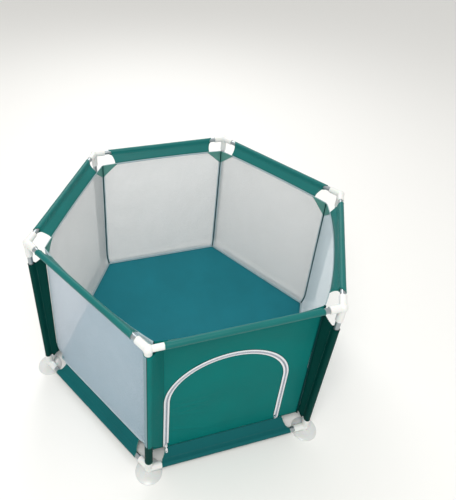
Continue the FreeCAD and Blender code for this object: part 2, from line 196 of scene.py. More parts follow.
def woven(name, rgb, thread=0.0008, rough=0.6, sheen=0.06, depth=0.00006, spread=0.08,
          gloss=0.08):
    """Coated plain-weave polyester: thread relief with a painted highlight on the threads' tops, a
    slight cloudiness and soft creases.
    """
    g = Graph(name)
    weave = g.weave(thread)
    cloud = g.spots(9.0, 3.0)
    grain = g.spots(420.0, 2.0)
    tone = g.math("ADD", g.math("MULTIPLY", cloud, 0.7), g.math("MULTIPLY", grain, 0.3))
    base = linear(rgb)
    ramp = g.add("ValToRGB", {0: tone})
    ramp.color_ramp.elements[0].position, ramp.color_ramp.elements[1].position = 0.3, 0.7
    ramp.color_ramp.elements[0].color = shade(base, 1 - spread)
    ramp.color_ramp.elements[1].color = shade(base, 1 + spread)
    # Painted highlight: the colour turns lighter where the weave's threads stand up.
    thread_highlight = g.math("MULTIPLY_ADD", weave, 0.5, 0.5)
    colour = g.mix(g.math("MULTIPLY", thread_highlight, 0.12), ramp.outputs[0], shade(base, 1.3))
    crease = g.bump(g.spots(26.0, 4.0, 0.6), 0.0011, 0.5)
    g.surface(Base_Color=colour, Roughness=g.math("MULTIPLY_ADD", cloud, 0.16, rough - 0.08),
              Normal=g.bump(weave, depth, 0.6, crease))
    g.surface(Sheen_Weight=sheen, Sheen_Roughness=0.45, Specular_IOR_Level=gloss)
    g.shader.inputs["Sheen Tint"].default_value = linear(tuple(min(255, c + 70) for c in rgb))
    return g.material


def netting(name, rgb, cell=0.0024, open_share=0.64, solid_share=0.90, glow=0.35):
    """Fine knitted polyester net: round holes in staggered rows between soft threads."""
    g = Graph(name)
    u, v = g.cloth_place()
    turn = math.pi / cell
    across = g.math("COSINE", g.math("MULTIPLY", u, turn))
    along = g.math("COSINE", g.math("MULTIPLY", v, turn * 0.8))
    hole = g.math("ABSOLUTE", g.math("MULTIPLY", across, along))
    edge = g.add("MapRange", {"Value": hole, "From Min": 0.18, "From Max": 0.42,
                              "To Min": solid_share, "To Max": 1 - open_share},
                 interpolation_type="SMOOTHSTEP").outputs[0]
    cloud = g.math("MULTIPLY", g.spots(14.0, 3.0), 0.4)
    tone = g.math("MULTIPLY_ADD", g.spots(330.0, 2.0), 0.9, cloud)
    colour = g.tones(g.math("SUBTRACT", tone, 0.15), rgb, 0.84, 1.10)
    relief = g.bump(hole, 0.0003, 0.4)
    g.surface(Base_Color=colour, Roughness=0.7, Normal=relief)
    g.surface(Sheen_Weight=0.15, Specular_IOR_Level=0.25)
    g.see_through(colour, edge, glow)
    return g.material


def thin_cloth(name, rgb, solid, glow=0.4):
    """Light see-through taffeta for the corner triangles."""
    g = Graph(name)
    weave = g.weave(0.0007)
    colour = g.tones(g.spots(30.0), rgb, 0.9, 1.08)
    g.surface(Base_Color=colour, Roughness=0.5, Normal=g.bump(weave, 0.00005, 0.5))
    g.surface(Specular_IOR_Level=0.3)
    g.see_through(colour, g.math("MULTIPLY_ADD", weave, 0.06, solid), glow)
    return g.material


def moulded(name, rgb, rough=0.28, soft=0.12, texture=0.00005):
    """Injection-moulded plastic: faint flow texture, small scuffs and a clear gloss."""
    g = Graph(name)
    scuff = g.spots(160.0, 5.0, 0.65)
    flow = g.spots(22.0, 2.0)
    g.surface(Base_Color=g.tones(flow, rgb, 0.975, 1.02),
              Roughness=g.math("MULTIPLY_ADD", scuff, 0.22, rough - 0.09),
              Normal=g.bump(g.spots(700.0, 2.0), texture, 0.4, g.bump(flow, 0.0006, 0.25)))
    g.surface(Subsurface_Weight=soft, Subsurface_Scale=0.004, Coat_Weight=0.25, Coat_Roughness=0.15)
    return g.material


def steel(name, rgb, rough=0.3, metal=0.9):
    """Lacquered steel tube: drawing lines, slight spangle and rubbed patches."""
    g = Graph(name)
    patch = g.spots(35.0, 4.0)
    g.surface(Base_Color=g.tones(patch, rgb, 0.85, 1.1), Metallic=metal,
              Roughness=g.math("MULTIPLY_ADD", patch, 0.25, rough - 0.1),
              Normal=g.bump(g.spots(900.0, 3.0), 0.00004, 0.35))
    return g.material


def tape(name, rgb):
    """Knitted zip tape: fine ribs along its length, with painted shade in the grooves between them.
    """
    g = Graph(name)
    u, v = g.cloth_place()
    ribs = g.math("SINE", g.math("MULTIPLY", v, 2 * math.pi / 0.0013))
    picks = g.math("SINE", g.math("MULTIPLY", u, 2 * math.pi / 0.0007))
    knit = g.math("MULTIPLY_ADD", picks, 0.4, ribs)
    # Painted shade: the colour is darker in the grooves between the ribs and lighter on their
    # crests.
    colour = g.tones(g.math("MULTIPLY_ADD", ribs, 0.35, 0.5), rgb, 0.86, 1.04)
    g.surface(Base_Color=colour, Roughness=0.7, Normal=g.bump(knit, 0.0001, 0.6),
              Sheen_Weight=0.2, Specular_IOR_Level=0.3)
    return g.material


def thread(name, rgb):
    """Twisted sewing thread."""
    g = Graph(name)
    g.surface(Base_Color=g.tones(g.spots(600.0), rgb, 0.85, 1.1), Roughness=0.5,
              Normal=g.bump(g.spots(2500.0), 0.0001, 0.5), Sheen_Weight=0.3)
    return g.material


def nylon(name, rgb):
    """The zip's coil."""
    g = Graph(name)
    g.surface(Base_Color=g.tones(g.spots(300.0), rgb, 0.9, 1.08), Roughness=0.35,
              Normal=g.bump(g.spots(1500.0), 0.00005, 0.4),
              Subsurface_Weight=0.1, Subsurface_Scale=0.002)
    return g.material


PANEL = woven("panel_cloth", (0, 108, 104), sheen=0.0, rough=0.6)
RAIL = woven("rail_cloth", (0, 100, 97), sheen=0.05, rough=0.42, gloss=0.3)
BASE = woven("base_cloth", (16, 90, 93), sheen=0.0)
POST = woven("post_cloth", (0, 55, 50), sheen=0.0, gloss=0.04)
MAT = woven("floor_cloth_weave", (30, 113, 125), sheen=0.0)
# Dark seam cloth, also used for the painted shadow lines along the zip's tape edges.
SEAM_AND_SHADOW = woven("seam_and_shadow_cloth", (0, 52, 52), sheen=0.0)
NET = netting("net", (228, 229, 230))
# Lit and shaded copies of the same net: the front left wall's is a cooler, more open copy as
# painted shade, the front right wall's a lighter, bluer copy as painted light.
SHADED_NET = netting("net_in_shade", (224, 234, 247), open_share=0.80, solid_share=0.64)
LIT_NET = netting("net_in_light", (232, 243, 254))
HEM = woven("net_hem_cloth", (170, 190, 196), sheen=0.0, spread=0.05)
EDGE = woven("edge_binding", (52, 128, 120), sheen=0.0, spread=0.06)
CORNER_CLOTH = woven("corner_cloth", (128, 152, 160), sheen=0.0, spread=0.05)
GUSSET = thin_cloth("gusset_cloth_weave", (112, 178, 168), 0.80)
TAPE = tape("zip_tape_knit", (236, 240, 243))
COIL = nylon("zip_coil", (166, 169, 182))
THREAD = thread("green_thread", (8, 92, 88))
PALE_THREAD = thread("pale_thread", (222, 226, 230))
PLASTIC = moulded("white_moulding", (223, 225, 223))
FOOT = moulded("foot_moulding", (208, 211, 210), rough=0.33, soft=0.25)
TUBE = steel("lacquered_tube", (166, 174, 178))
METAL = steel("zip_cast_metal", (232, 234, 236), rough=0.32, metal=0.35)


# --- mesh code ---

def turn_side(points, side):
    """Points made on the front side, turned to another side."""
    turn = np.array(Matrix.Rotation(math.radians(60 * side), 3, "Z"))
    return np.asarray(points) @ turn.T


def turn_corner(points, corner):
    """Points made at the corner on +X, turned to another corner."""
    turn = np.array(Matrix.Rotation(math.radians(60 * corner - 120), 3, "Z"))
    return np.asarray(points) @ turn.T


def make(name, verts, faces, material, uv=None):
    """An object of one smooth mesh, with the cloth's own coordinates at its vertices."""
    mesh = bpy.data.meshes.new(name)
    mesh.from_pydata([tuple(v) for v in verts], [], [tuple(f) for f in faces])
    layer = mesh.uv_layers.new(name="cloth")
    if uv is not None:
        corners = np.empty(len(mesh.loops), np.int32)
        mesh.loops.foreach_get("vertex_index", corners)
        layer.data.foreach_set("uv", np.asarray(uv, np.float32)[corners].ravel())
    mesh.materials.append(material)
    mesh.polygons.foreach_set("use_smooth", [True] * len(mesh.polygons))
    mesh.update()
    piece = bpy.data.objects.new(name, mesh)
    bpy.context.scene.collection.objects.link(piece)
    return piece


def grid_faces(rows, columns, start=0):
    """Quads between neighbouring rows and columns of points."""
    faces = []
    for i in range(rows - 1):
        for j in range(columns - 1):
            a = start + i * columns + j
            faces.append((a, a + 1, a + columns + 1, a + columns))
    return faces


def cloth_lengths(points):
    """Metres along and across a grid of points, for its weave."""
    along = np.linalg.norm(np.diff(points, axis=1), axis=2)
    across = np.linalg.norm(np.diff(points, axis=0), axis=2)
    u = np.concatenate([np.zeros((points.shape[0], 1)), np.cumsum(along, axis=1)], axis=1)
    v = np.concatenate([np.zeros((1, points.shape[1])), np.cumsum(across, axis=0)], axis=0)
    return np.stack([u, v], axis=2)


def thicken(piece, thickness):
    """Gives a sheet its thickness, half on each side."""
    solid = piece.modifiers.new("thickness", "SOLIDIFY")
    solid.thickness, solid.offset = thickness, 0.0
    solid.use_even_offset = False
    return piece


def sheet_grid(name, points, material, thickness=CLOTH):
    """A sheet of cloth from a grid of points, rows by columns."""
    points = np.asarray(points)
    rows, columns = points.shape[:2]
    piece = make(name, points.reshape(-1, 3), grid_faces(rows, columns), material,
                 cloth_lengths(points).reshape(-1, 2))
    return thicken(piece, thickness)


def tube_along(paths, radius, sides=8, flat=1.0, closed=False):
    """Verts, faces and cloth places of round cords along point paths."""
    verts, faces, uv = [], [], []
    for path in paths:
        path = np.asarray(path, float)
        if closed:
            step = np.roll(path, -1, 0) - np.roll(path, 1, 0)
        else:
            step = np.gradient(path, axis=0)
        step /= np.linalg.norm(step, axis=1)[:, None]
        start, side = len(verts), Vector((0.31, 0.52, 0.79))
        run = 0.0
        for i, (p, t) in enumerate(zip(path, step)):
            t = Vector(t)
            side = (side - t * side.dot(t)).normalized()
            other = t.cross(side)
            run += float(np.linalg.norm(p - path[i - 1])) if i else 0.0
            for k in range(sides):
                a = 2 * math.pi * k / sides
                verts.append(Vector(p) + side * math.cos(a) * radius
                             + other * math.sin(a) * radius * flat)
                uv.append((run, radius * a))
        count = len(path)
        for i in range(count if closed else count - 1):
            for k in range(sides):
                a, b = start + i * sides, start + ((i + 1) % count) * sides
                faces.append((a + k, a + (k + 1) % sides, b + (k + 1) % sides, b + k))
        if not closed:
            faces.append(tuple(start + k for k in reversed(range(sides))))
            faces.append(tuple(start + (count - 1) * sides + k for k in range(sides)))
    return verts, faces, uv


def lozenges(items):
    """Small rounded grains, such as stitches and zip teeth, each from its middle and three
    half lengths: along, across and up."""
    verts, faces, uv = [], [], []
    for middle, along, across, up in items:
        base = len(verts)
        verts.append(middle - along)
        for part in (-0.55, 0.55):
            for a, b in ((1, 0), (0, 1), (-1, 0), (0, -1)):
                verts.append(middle + along * part + (across * a + up * b) * 0.85)
        verts.append(middle + along)
        uv += [(v.x, v.z) for v in verts[base:]]
        for k in range(4):
            n = (k + 1) % 4
            faces.append((base, base + 1 + n, base + 1 + k))
            faces.append((base + 1 + k, base + 1 + n, base + 5 + n, base + 5 + k))
            faces.append((base + 5 + k, base + 5 + n, base + 9))
    return verts, faces, uv


def cord(name, paths, radius, material, sides=8, flat=1.0, closed=False):
    """A piece made of round cords along point paths."""
    verts, faces, uv = tube_along(paths, radius, sides, flat, closed)
    return make(name, verts, faces, material, uv)


def grains(name, items, material):
    """A piece made of rounded grains."""
    verts, faces, uv = lozenges(items)
    return make(name, verts, faces, material, uv)


def even_points(path, pitch):
    """Points at even steps along a path, and its directions there."""
    path = np.asarray(path, float)
    run = profile_run(path)
    at = np.arange(pitch / 2, run[-1], pitch)

    def place(at):
        return np.stack([np.interp(at, run, path[:, k]) for k in range(3)], axis=1)

    step = place(at + pitch / 4) - place(at - pitch / 4)
    return place(at), step / np.linalg.norm(step, axis=1)[:, None]


def stitch_line(path, normal, pitch=0.0036, length=0.0026, width=0.0006):
    """Stitches along a path that lies on a face with this outward normal."""
    items = []
    for p, t in zip(*even_points(path, pitch)):
        t, n = Vector(t), Vector(normal)
        items.append((Vector(p) + n * width * 0.3, t * length / 2,
                      t.cross(n).normalized() * width / 2, n * width / 2))
    return items


def on_root(piece, replaced=()):
    """The piece rides the fixed body and stands for these nodes."""
    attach(piece, "root")
    if replaced:
        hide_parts(*replaced)


def ripple(x, y, z=0.0, seed=0.0):
    """Smooth noise from -1 to 1."""
    return noise.noise(Vector((x, y, z + seed * 17.3)))


def ease(t):
    """0 to 1, slow at both ends."""
    t = min(max(t, 0.0), 1.0)
    return t * t * (3 - 2 * t)


# --- the mesh walls ---

def wall_profile(step=0.012, floor=WALL_FLOOR, bend=WALL_LOW):
    """Corner radius and height up a wall, with its turn at the bottom rounded."""
    floor, bend, top = np.array(floor), np.array(bend), np.array(WALL_TOP)
    before = bend + (floor - bend) / np.linalg.norm(floor - bend) * 0.016
    after = bend + (top - bend) / np.linalg.norm(top - bend) * 0.022
    lower = [floor + (before - floor) * t for t in np.linspace(0, 1, 4)[:-1]]
    curve = [before * (1 - t) ** 2 + bend * 2 * t * (1 - t) + after * t * t
             for t in np.linspace(0, 1, 7)]
    count = int(np.linalg.norm(top - after) / step)
    upper = [after + (top - after) * t for t in np.linspace(0, 1, count)[1:]]
    return np.array(lower + curve + upper)


def profile_run(profile):
    """Metres along a profile at each of its points."""
    return np.concatenate([[0], np.cumsum(np.linalg.norm(np.diff(profile, axis=0), axis=1))])


def profile_at(profile, runs, run):
    """The corner radius and the height at this many metres along a profile."""
    return (float(np.interp(run, runs, profile[:, k])) for k in (0, 1))


WALL = wall_profile()
WALL_RUN = profile_run(WALL)
LEFT_WALL = wall_profile(floor=LEFT_FOOT, bend=LEFT_LOW)
LEFT_RUN = profile_run(LEFT_WALL)
LEFT_RUN *= WALL_RUN[-1] / LEFT_RUN[-1]


def wall_radius(z):
    """The walls' corner radius at a height."""
    return float(np.interp(z, WALL[:, 1], WALL[:, 0]))


def top_bow(side, x):
    """How far a wall's top seam is pulled out towards its rail, at x along it."""
    half = WALL_TOP[0] / 2
    return TOP_BOW[side] * max(0.0, 1 - (x / half) ** 2) ** 0.8


def wall_point(across, run, side=0, lift=0.0):
    """A point on a side's net before the side is turned into place: across from -1 to 1, and
    run in metres up from the floor."""
    radius, z = profile_at(WALL, WALL_RUN, run)
    if side == FRONT_LEFT:
        share = ease((1 - abs(across)) / 0.22)
        left_radius, left_z = profile_at(LEFT_WALL, LEFT_RUN, run)
        radius, z = radius + (left_radius - radius) * share, z + (left_z - z) * share
    half = radius / 2 - SEAM_GAP
    x = across * half
    inside = (1 - across * across) * math.sin(math.pi * run / WALL_RUN[-1])
    give = -0.0030 * inside + top_bow(side, x) * (run / WALL_RUN[-1]) ** 2
    folds = ripple(x * 9, run * 2.2, seed=side) * 0.0022
    pulls = ripple(x * 34 + run * 12, run * 7 - x * 9, seed=side + 3) * 0.0008
    fade = min(1.0, 8 * (1 - abs(across))) * min(1.0, run * 40, (WALL_RUN[-1] - run) * 40)
    give += (folds + pulls) * fade
    return (x, -(radius * COS30 + give + lift), z)


def net_wall(side):
    """A side's net, with a hem on its four edges and stitches along the hem."""
    name = SIDES[side]
    steps = np.linspace(-1, 1, WALL_STEPS)
    rows = [[wall_point(a, r, side) for a in steps] for r in WALL_RUN]
    # The front right and front left walls take the painted light and painted shade copies of the
    # net.
    net = sheet_grid("net_" + name, turn_side(rows, side),
                     {FRONT_RIGHT: LIT_NET, FRONT_LEFT: SHADED_NET}.get(side, NET), NET_CLOTH)
    on_root(net, ["mesh_wall_" + name])

    hem, far = HEM_WIDTH, WALL_RUN[-1]
    strips = []
    for start, end in ((0.0, hem), (far - hem, far)):
        strips.append([[wall_point(a, r, side) for a in steps]
                       for r in (start, (start + end) / 2, end)])
    share = hem / (WALL_TOP[0] / 2)
    for start, end in ((-1.0, -1.0 + share), (1.0 - share, 1.0)):
        strips.append([[wall_point(a, r, side) for a in (start, (start + end) / 2, end)]
                       for r in WALL_RUN])
    verts, faces, uv = [], [], []
    for strip in strips:
        strip = turn_side(strip, side)
        faces += grid_faces(strip.shape[0], strip.shape[1], len(verts))
        verts += list(strip.reshape(-1, 3))
        uv += list(cloth_lengths(strip).reshape(-1, 2))
    border = thicken(make("net_hem_" + name, verts, faces, HEM, uv), HEM_THICKNESS)
    on_root(border)

    items, normal = [], Vector(turn_side((0, -1, 0), side))
    for across in (-1 + share * 0.8, 1 - share * 0.8):
        path = turn_side([wall_point(across, r, side, STITCH_LIFT) for r in WALL_RUN], side)
        items += stitch_line(path, normal)
    for run in (hem * 0.8, far - hem * 0.8):
        path = turn_side([wall_point(a, run, side, STITCH_LIFT) for a in steps], side)
        items += stitch_line(path, normal)
    sewing = grains("net_stitches_" + name, items, PALE_THREAD)
    on_root(sewing)


# --- sleeves: cloth sewn round a tube, its two layers going on as a band to a seam ---

def sleeve_outline(centre, seam, radius, band_steps=7, ring_steps=26):
    """An open outline in a plane: up one layer of the band, round the tube and back down."""
    centre, seam = np.array(centre, float), np.array(seam, float)
    toward = centre - seam
    span = np.linalg.norm(toward)
    toward /= span
    side = np.array([toward[1], -toward[0]])
    pinch = radius + 0.0050
    outline, band_share = [], []
    for t in np.linspace(0, 1, band_steps):
        outline.append(seam + toward * (span - pinch) * t + side * LAYER)
        band_share.append(t)
    lean = math.acos(radius / pinch) - 0.05
    for a in np.linspace(lean, 2 * math.pi - lean, ring_steps):
        outline.append(centre + (-toward * math.cos(a) + side * math.sin(a)) * radius)
        band_share.append(1.0 + math.sin(a / 2))
    for t in np.linspace(1, 0, band_steps):
        outline.append(seam + toward * (span - pinch) * t - side * LAYER)
        band_share.append(t)
    return np.array(outline), np.array(band_share), side


def bite_edge(out, bare):
    """How far from the side's middle a sleeve ends, at this distance out."""
    reach = out * TAN30 - SEAM_GAP
    for inside, radius in ((0.0, bare), (BITE_IN, BITE_R - RAIL_BARE + bare)):
        middle_x, middle_out = (SIDE - inside) * 0.5, (SIDE - inside) * COS30
        chord = radius ** 2 - (out - middle_out) ** 2
        if chord > 0:
            reach = min(reach, middle_x - math.sqrt(chord))
    return reach


def rail_sleeve(name, side, height, seam, material, replaced, bare):
    """The cloth round a rail and its band to the wall, with bound ends and stitches. bare is
    how much of the rail shows at its left end and at its right one."""
    outline, share, off = sleeve_outline((APOTHEM, height), seam, SLEEVE_R)
    columns = np.linspace(-1, 1, 73)
    rows = []
    for (out, z), s in zip(outline, share):
        left, right = bite_edge(out, bare[0]), bite_edge(out, bare[1])
        row = []
        for c in columns:
            x = c * (left if c < 0 else right)
            near = 1 - abs(c)
            slack = ripple(x * 26, s * 2.0, z * 30, side + height) * 0.0004
            slack += ripple(x * 90, s * 3.1, 0.4, side) * 0.00018
            push = slack * (0.25 + near)
            row_out, row_z = out, z
            if s >= 1.0:
                away = np.array([out - APOTHEM, z - height])
                away = away / np.linalg.norm(away)
                row_out, row_z = out + away[0] * push, z + away[1] * push
            else:
                sway = ripple(x * 14 + side, z * 11, 0.7) * 0.0009
                sway *= math.sin(math.pi * s) * min(1, near * 9)
                if side == FRONT and height < RAIL_TOP:
                    sway += (math.sin(x * 420 + ripple(x * 30, 0.3) * 3) * math.sin(math.pi * s)
                             * math.exp(-((x - GATHER_X) / GATHER_REACH) ** 2) * 0.0011)
                row_out, row_z = out + off[0] * sway, z + off[1] * sway
                if height == RAIL_TOP:
                    row_out += top_bow(side, x) * (1 - s) ** 1.5
                elif side == FRONT_LEFT:
                    corner_share = 1 - ease((seam[0] * TAN30 - abs(x)) / 0.05)
                    row_out -= CORNER_DRAW * corner_share * (1 - s)
            row.append((x, -row_out, row_z))
        rows.append(row)
    rows = turn_side(rows, side)
    sleeve = sheet_grid(name, rows, material)
    on_root(sleeve, replaced)

    ends = [rows[:, 0], rows[:, -1]]
    hem = cord(name + "_hems", ends, HEM_CORD, EDGE)
    on_root(hem)

    band = len([s for s in share if s < 1.0]) // 2
    items = []
    for row, hand in ((band, 1), (len(outline) - 1 - band, -1)):
        normal = Vector(turn_side((0, -off[0] * hand, off[1] * hand), side))
        line = rows[row] + np.array(normal) * CLOTH * 0.6
        items += stitch_line(line[1:-1], normal)
        line = rows[0 if hand > 0 else -1] * 0.9 + rows[1 if hand > 0 else -2] * 0.1
        items += stitch_line(line[2:-2] + np.array(normal) * CLOTH * 0.6, normal)
    sewing = grains(name + "_stitches", items, THREAD)
    on_root(sewing)


# --- posts: the same, standing, with a band that narrows to each end ---

POST_LOW = RAIL_LOW + 0.048
POST_TOP = RAIL_TOP - 0.0965
WIDE_TOP = RAIL_TOP - 0.0188


def curve_through(points, at):
    """The value at this place on a line through (x, y) points."""
    xs, ys = zip(*points)
    return float(np.interp(at, xs, ys))


def smooth_table(points, count=24):
    """A smooth curve through a few (x, y) points, as a finer table."""
    xs, ys = np.array([p[0] for p in points]), np.array([p[1] for p in points])
    fine = np.linspace(xs[0], xs[-1], count)
    table = np.polyfit(xs, ys, len(points) - 1)
    return list(zip(fine, np.polyval(table, fine)))


# Heights of a post band's lower and upper ends, from its seam (0) to the tube (1).
BAND_LOW = [(0.0, 0.084), (0.55, 0.0745), (0.9, 0.0545), (1.0, 0.0545)]
BAND_TOP = smooth_table([(0.0, 0.613), (0.42, 0.5985), (1.0, POST_TOP)])
WIDE_BAND_TOP = smooth_table([(0.0, 0.630), (0.45, 0.653), (1.0, WIDE_TOP)])


def post_sleeve(corner):
    """The cloth round a post and its band to the corner seam; the front left one is wider."""
    wide = corner == 0
    radius, ring_top = (WIDE_SLEEVE_R, WIDE_TOP) if wide else (SLEEVE_R, POST_TOP)
    band_top = WIDE_BAND_TOP if wide else BAND_TOP
    rows = []
    levels = np.linspace(0, 1, 61)
    _, share, _ = sleeve_outline((SIDE, 0), (WALL_TOP[0], 0), radius)
    for v in levels:
        row = []
        for k, s in enumerate(share):
            if s >= 1.0:
                z = POST_LOW + v * (ring_top - POST_LOW)
            else:
                lowest, highest = curve_through(BAND_LOW, s), curve_through(band_top, s)
                z = lowest + v * (highest - lowest)
            seam = wall_radius(z) + 0.0020
            out, across = sleeve_outline((SIDE, 0), (seam, 0), radius)[0][k]
            slack = ripple(z * 17, s * 1.6, 0.3, corner + 40) * 0.0007
            if s >= 1.0:
                away = np.array([out - SIDE, across]) / radius
                out, across = out + away[0] * slack * 0.4, across + away[1] * slack * 0.4
            else:
                sway = slack + ripple(z * 8, out * 30, 0.9, corner) * 0.0011
                across += sway * math.sin(math.pi * s)
            row.append((out, across, z))
        rows.append(row)
    name = "post_sleeve_" + CORNERS[corner]
    rows = turn_corner(rows, corner)
    sleeve = sheet_grid(name, rows, POST)
    on_root(sleeve, ["post_sleeves"])
    if wide:
        colour_front_post(sleeve, rows)
    ends = [rows[0], rows[-1]]
    hem = cord(name + "_hems", ends, 0.0009, PANEL if wide else SEAM_AND_SHADOW)
    on_root(hem)
    band = 6
    items = []
    for column, hand in ((band, -1), (len(share) - 1 - band, 1)):
        normal = Vector(turn_corner((0, hand, 0), corner))
        line = rows[2:-2, column] + np.array(normal) * CLOTH * 0.6
        items += stitch_line(line, normal)
    sewing = grains(name + "_stitches", items, THREAD)
    on_root(sewing)


def colour_front_post(sleeve, rows):
    """The front left sleeve takes the front wall's cloth on one half and the net wall's hem
    cloth on the other, with a dark seam between, and the dark cloth at its foot."""
    for material in (PANEL, CORNER_CLOTH, SEAM_AND_SHADOW):
        sleeve.data.materials.append(material)
    columns = rows.shape[1]
    middle = (columns - 1) / 2
    for polygon in sleeve.data.polygons:
        column = polygon.vertices[0] % columns
        if polygon.center.z < WRAP_LOW:
            polygon.material_index = 0
        elif abs(column + 0.5 - middle) < 0.9:
            polygon.material_index = 3
        else:
            polygon.material_index = 1 if column > middle else 2


# --- corner seams inside, gussets, floor ---

def corner_seam(corner):
    """The bound seam that joins two walls, inside their corner."""
    path = []
    for z in np.concatenate([np.linspace(0.067, 0.13, 12), np.linspace(0.14, 0.642, 36)]):
        path.append((wall_radius(z) - 0.0020, ripple(z * 20, corner, 0.1) * 0.0006, z))
    path = turn_corner(path, corner)
    on_root(cord("corner_seam_" + CORNERS[corner], [path], 0.0030, SEAM_AND_SHADOW, 10, 0.62))


def gussets(side):
    """The two cloth triangles in a net's top corners."""
    verts, faces, uv = [], [], []
    steps = 12
    far = WALL_RUN[-1]
    for hand in (-1, 1):
        start = len(verts)
        for i in range(steps + 1):
            down = GUSSET_DOWN * i / steps
            width = GUSSET_WIDTH * (1 - i / steps) + 0.0012
            for j in range(steps + 1):
                run = far - 0.0015 - down
                half = float(np.interp(run, WALL_RUN, WALL[:, 0])) / 2 - SEAM_GAP
                across = hand * (half - 0.0008 - width * j / steps) / half
                verts.append(wall_point(across, run, side, -0.0016))
                uv.append((width * j / steps, down))
        faces += grid_faces(steps + 1, steps + 1, start)
    piece = make("gussets_" + SIDES[side], turn_side(verts, side), faces, GUSSET, uv)
    thicken(piece, 0.0004)
    on_root(piece, ["corner_gussets"])


def floor_cloth():
    """The padded floor cloth, a little slack, with piping round its rim."""
    edges = [DOOR_FOOT[0] * COS30] + [WALL_FLOOR[0] * COS30] * 4 + [LEFT_FOOT[0] * COS30 - 0.0005]
    edges = [e - 0.0016 for e in edges]
    around, rings = 144, 30
    flat = [(0, 0)]
    for i in range(1, rings + 1):
        share = i / rings
        for k in range(around):
            a = 2 * math.pi * k / around - math.pi / 2
            reach = min(e / max(math.cos(a - math.radians(-90 + 60 * n)), 1e-6)
                        for n, e in enumerate(edges)
                        if math.cos(a - math.radians(-90 + 60 * n)) > 0.3)
            flat.append((reach * share * math.cos(a), reach * share * math.sin(a)))
    level = FLOOR_TOP - 0.0013
    placed = []
    for n, (x, y) in enumerate(flat):
        ring = (n - 1) // around + 1 if n else 0
        rim = 1 - ring / rings
        slack = ripple(x * 4, y * 4, 0.2) * 0.0035 + ripple(x * 13 + y * 5, y * 12, 0.8) * 0.0012
        sag = -0.0035 * ease(rim * 2.2)
        placed.append((x, y, level + (slack + sag) * min(1.0, rim * 14)))
    faces = [(0, 1 + k, 1 + (k + 1) % around) for k in range(around)]
    for i in range(rings - 1):
        for k in range(around):
            a, b = 1 + i * around, 1 + (i + 1) * around
            faces.append((a + k, b + k, b + (k + 1) % around, a + (k + 1) % around))
    piece = thicken(make("floor_cloth", placed, faces, MAT, flat), FLOOR_CLOTH)
    on_root(piece, ["floor_mat"])
    rim = [Vector(p) + Vector((0, 0, 0.0016)) for p in placed[-around:]]
    piping = cord("floor_piping", [[p * 0.9965 for p in rim]], 0.0017, HEM, closed=True)
    on_root(piping)


# --- the door wall ---

def on_panel(x, y, z=0.0):
    """A point in the door wall's own plane: x right, y up from its foot, z outward."""
    return PANEL_ORIGIN + Vector((x, 0, 0)) + PANEL_UP * y + PANEL_OUT * z


def panel_sheet(name, points):
    """A sheet of the door wall's cloth from a grid of points, its weave straight across it."""
    flat = points.reshape(-1, 3)
    piece = make(name, flat, grid_faces(*points.shape[:2]), PANEL, [(p[0], p[2]) for p in flat])
    return thicken(piece, PANEL_CLOTH)


def arch_path(offset, low=0.0, leg_steps=30, crown_steps=72):
    """The zip's line, this far outside its middle, from the left foot over to the right."""
    half, rise = ARCH_HALF + offset, ARCH_RISE + offset
    path = [(ARCH_MIDDLE - half, y) for y in np.linspace(low, ARCH_SPRING, leg_steps)[:-1]]
    for a in np.linspace(math.pi, 0, crown_steps):
        path.append((ARCH_MIDDLE + half * math.cos(a), ARCH_SPRING + rise * math.sin(a)))
    path += [(ARCH_MIDDLE + half, y) for y in np.linspace(ARCH_SPRING, low, leg_steps)[1:]]
    return path


def panel_half(y):
    """Half the panel's width, at y up it."""
    foot, head = DOOR_FOOT[0] / 2 - PANEL_INSET, WALL_TOP[0] / 2 - PANEL_INSET
    return foot + (head - foot) * y / PANEL_HEIGHT


def panel_edge(x, y):
    """Where the line from the zip at (x, y) meets the panel's edge."""
    if y <= ARCH_SPRING + 1e-9:
        return (panel_half(y) * (-1 if x < ARCH_MIDDLE else 1), y)
    dx, dy = x - ARCH_MIDDLE, y - ARCH_SPRING
    scale = (PANEL_HEIGHT - ARCH_SPRING) / max(dy, 1e-9)
    for _ in range(8):
        hit_y = ARCH_SPRING + dy * scale
        if abs(dx) > 1e-9:
            edge = panel_half(hit_y) * (1 if dx > 0 else -1)
            scale = min(scale, (edge - ARCH_MIDDLE) / dx)
    return (ARCH_MIDDLE + dx * scale, ARCH_SPRING + dy * scale)


def corner_rays():
    """The crown's angles, with one exactly through each top corner of the panel."""
    angles = list(np.linspace(math.pi, 0, 73))
    for hand in (-1, 1):
        x = hand * panel_half(PANEL_HEIGHT) - ARCH_MIDDLE
        ray = math.atan2((PANEL_HEIGHT - ARCH_SPRING) / (ARCH_RISE + FABRIC_SETBACK),
                         x / (ARCH_HALF + FABRIC_SETBACK))
        nearest = min(range(1, 72), key=lambda k: abs(angles[k] - ray))
        angles[nearest] = ray
    return angles


def panel_relief(x, y, from_zip, from_edge):
    """How far the panel stands out: soft folds, and its top pulled to the rail."""
    fade = ease(from_zip / 0.035) * ease(from_edge / 0.02)
    soft = ripple(x * 7, y * 5, 0.2, 5) * 0.0030
    pulls = ripple(x * 26 + y * 8, y * 14, 0.5, 6) * 0.0009
    bow = top_bow(FRONT, x) * ease((y - 0.40) / (PANEL_HEIGHT - 0.40)) * ease(from_zip / 0.12)
    return (soft + pulls * 0.6) * fade + bow


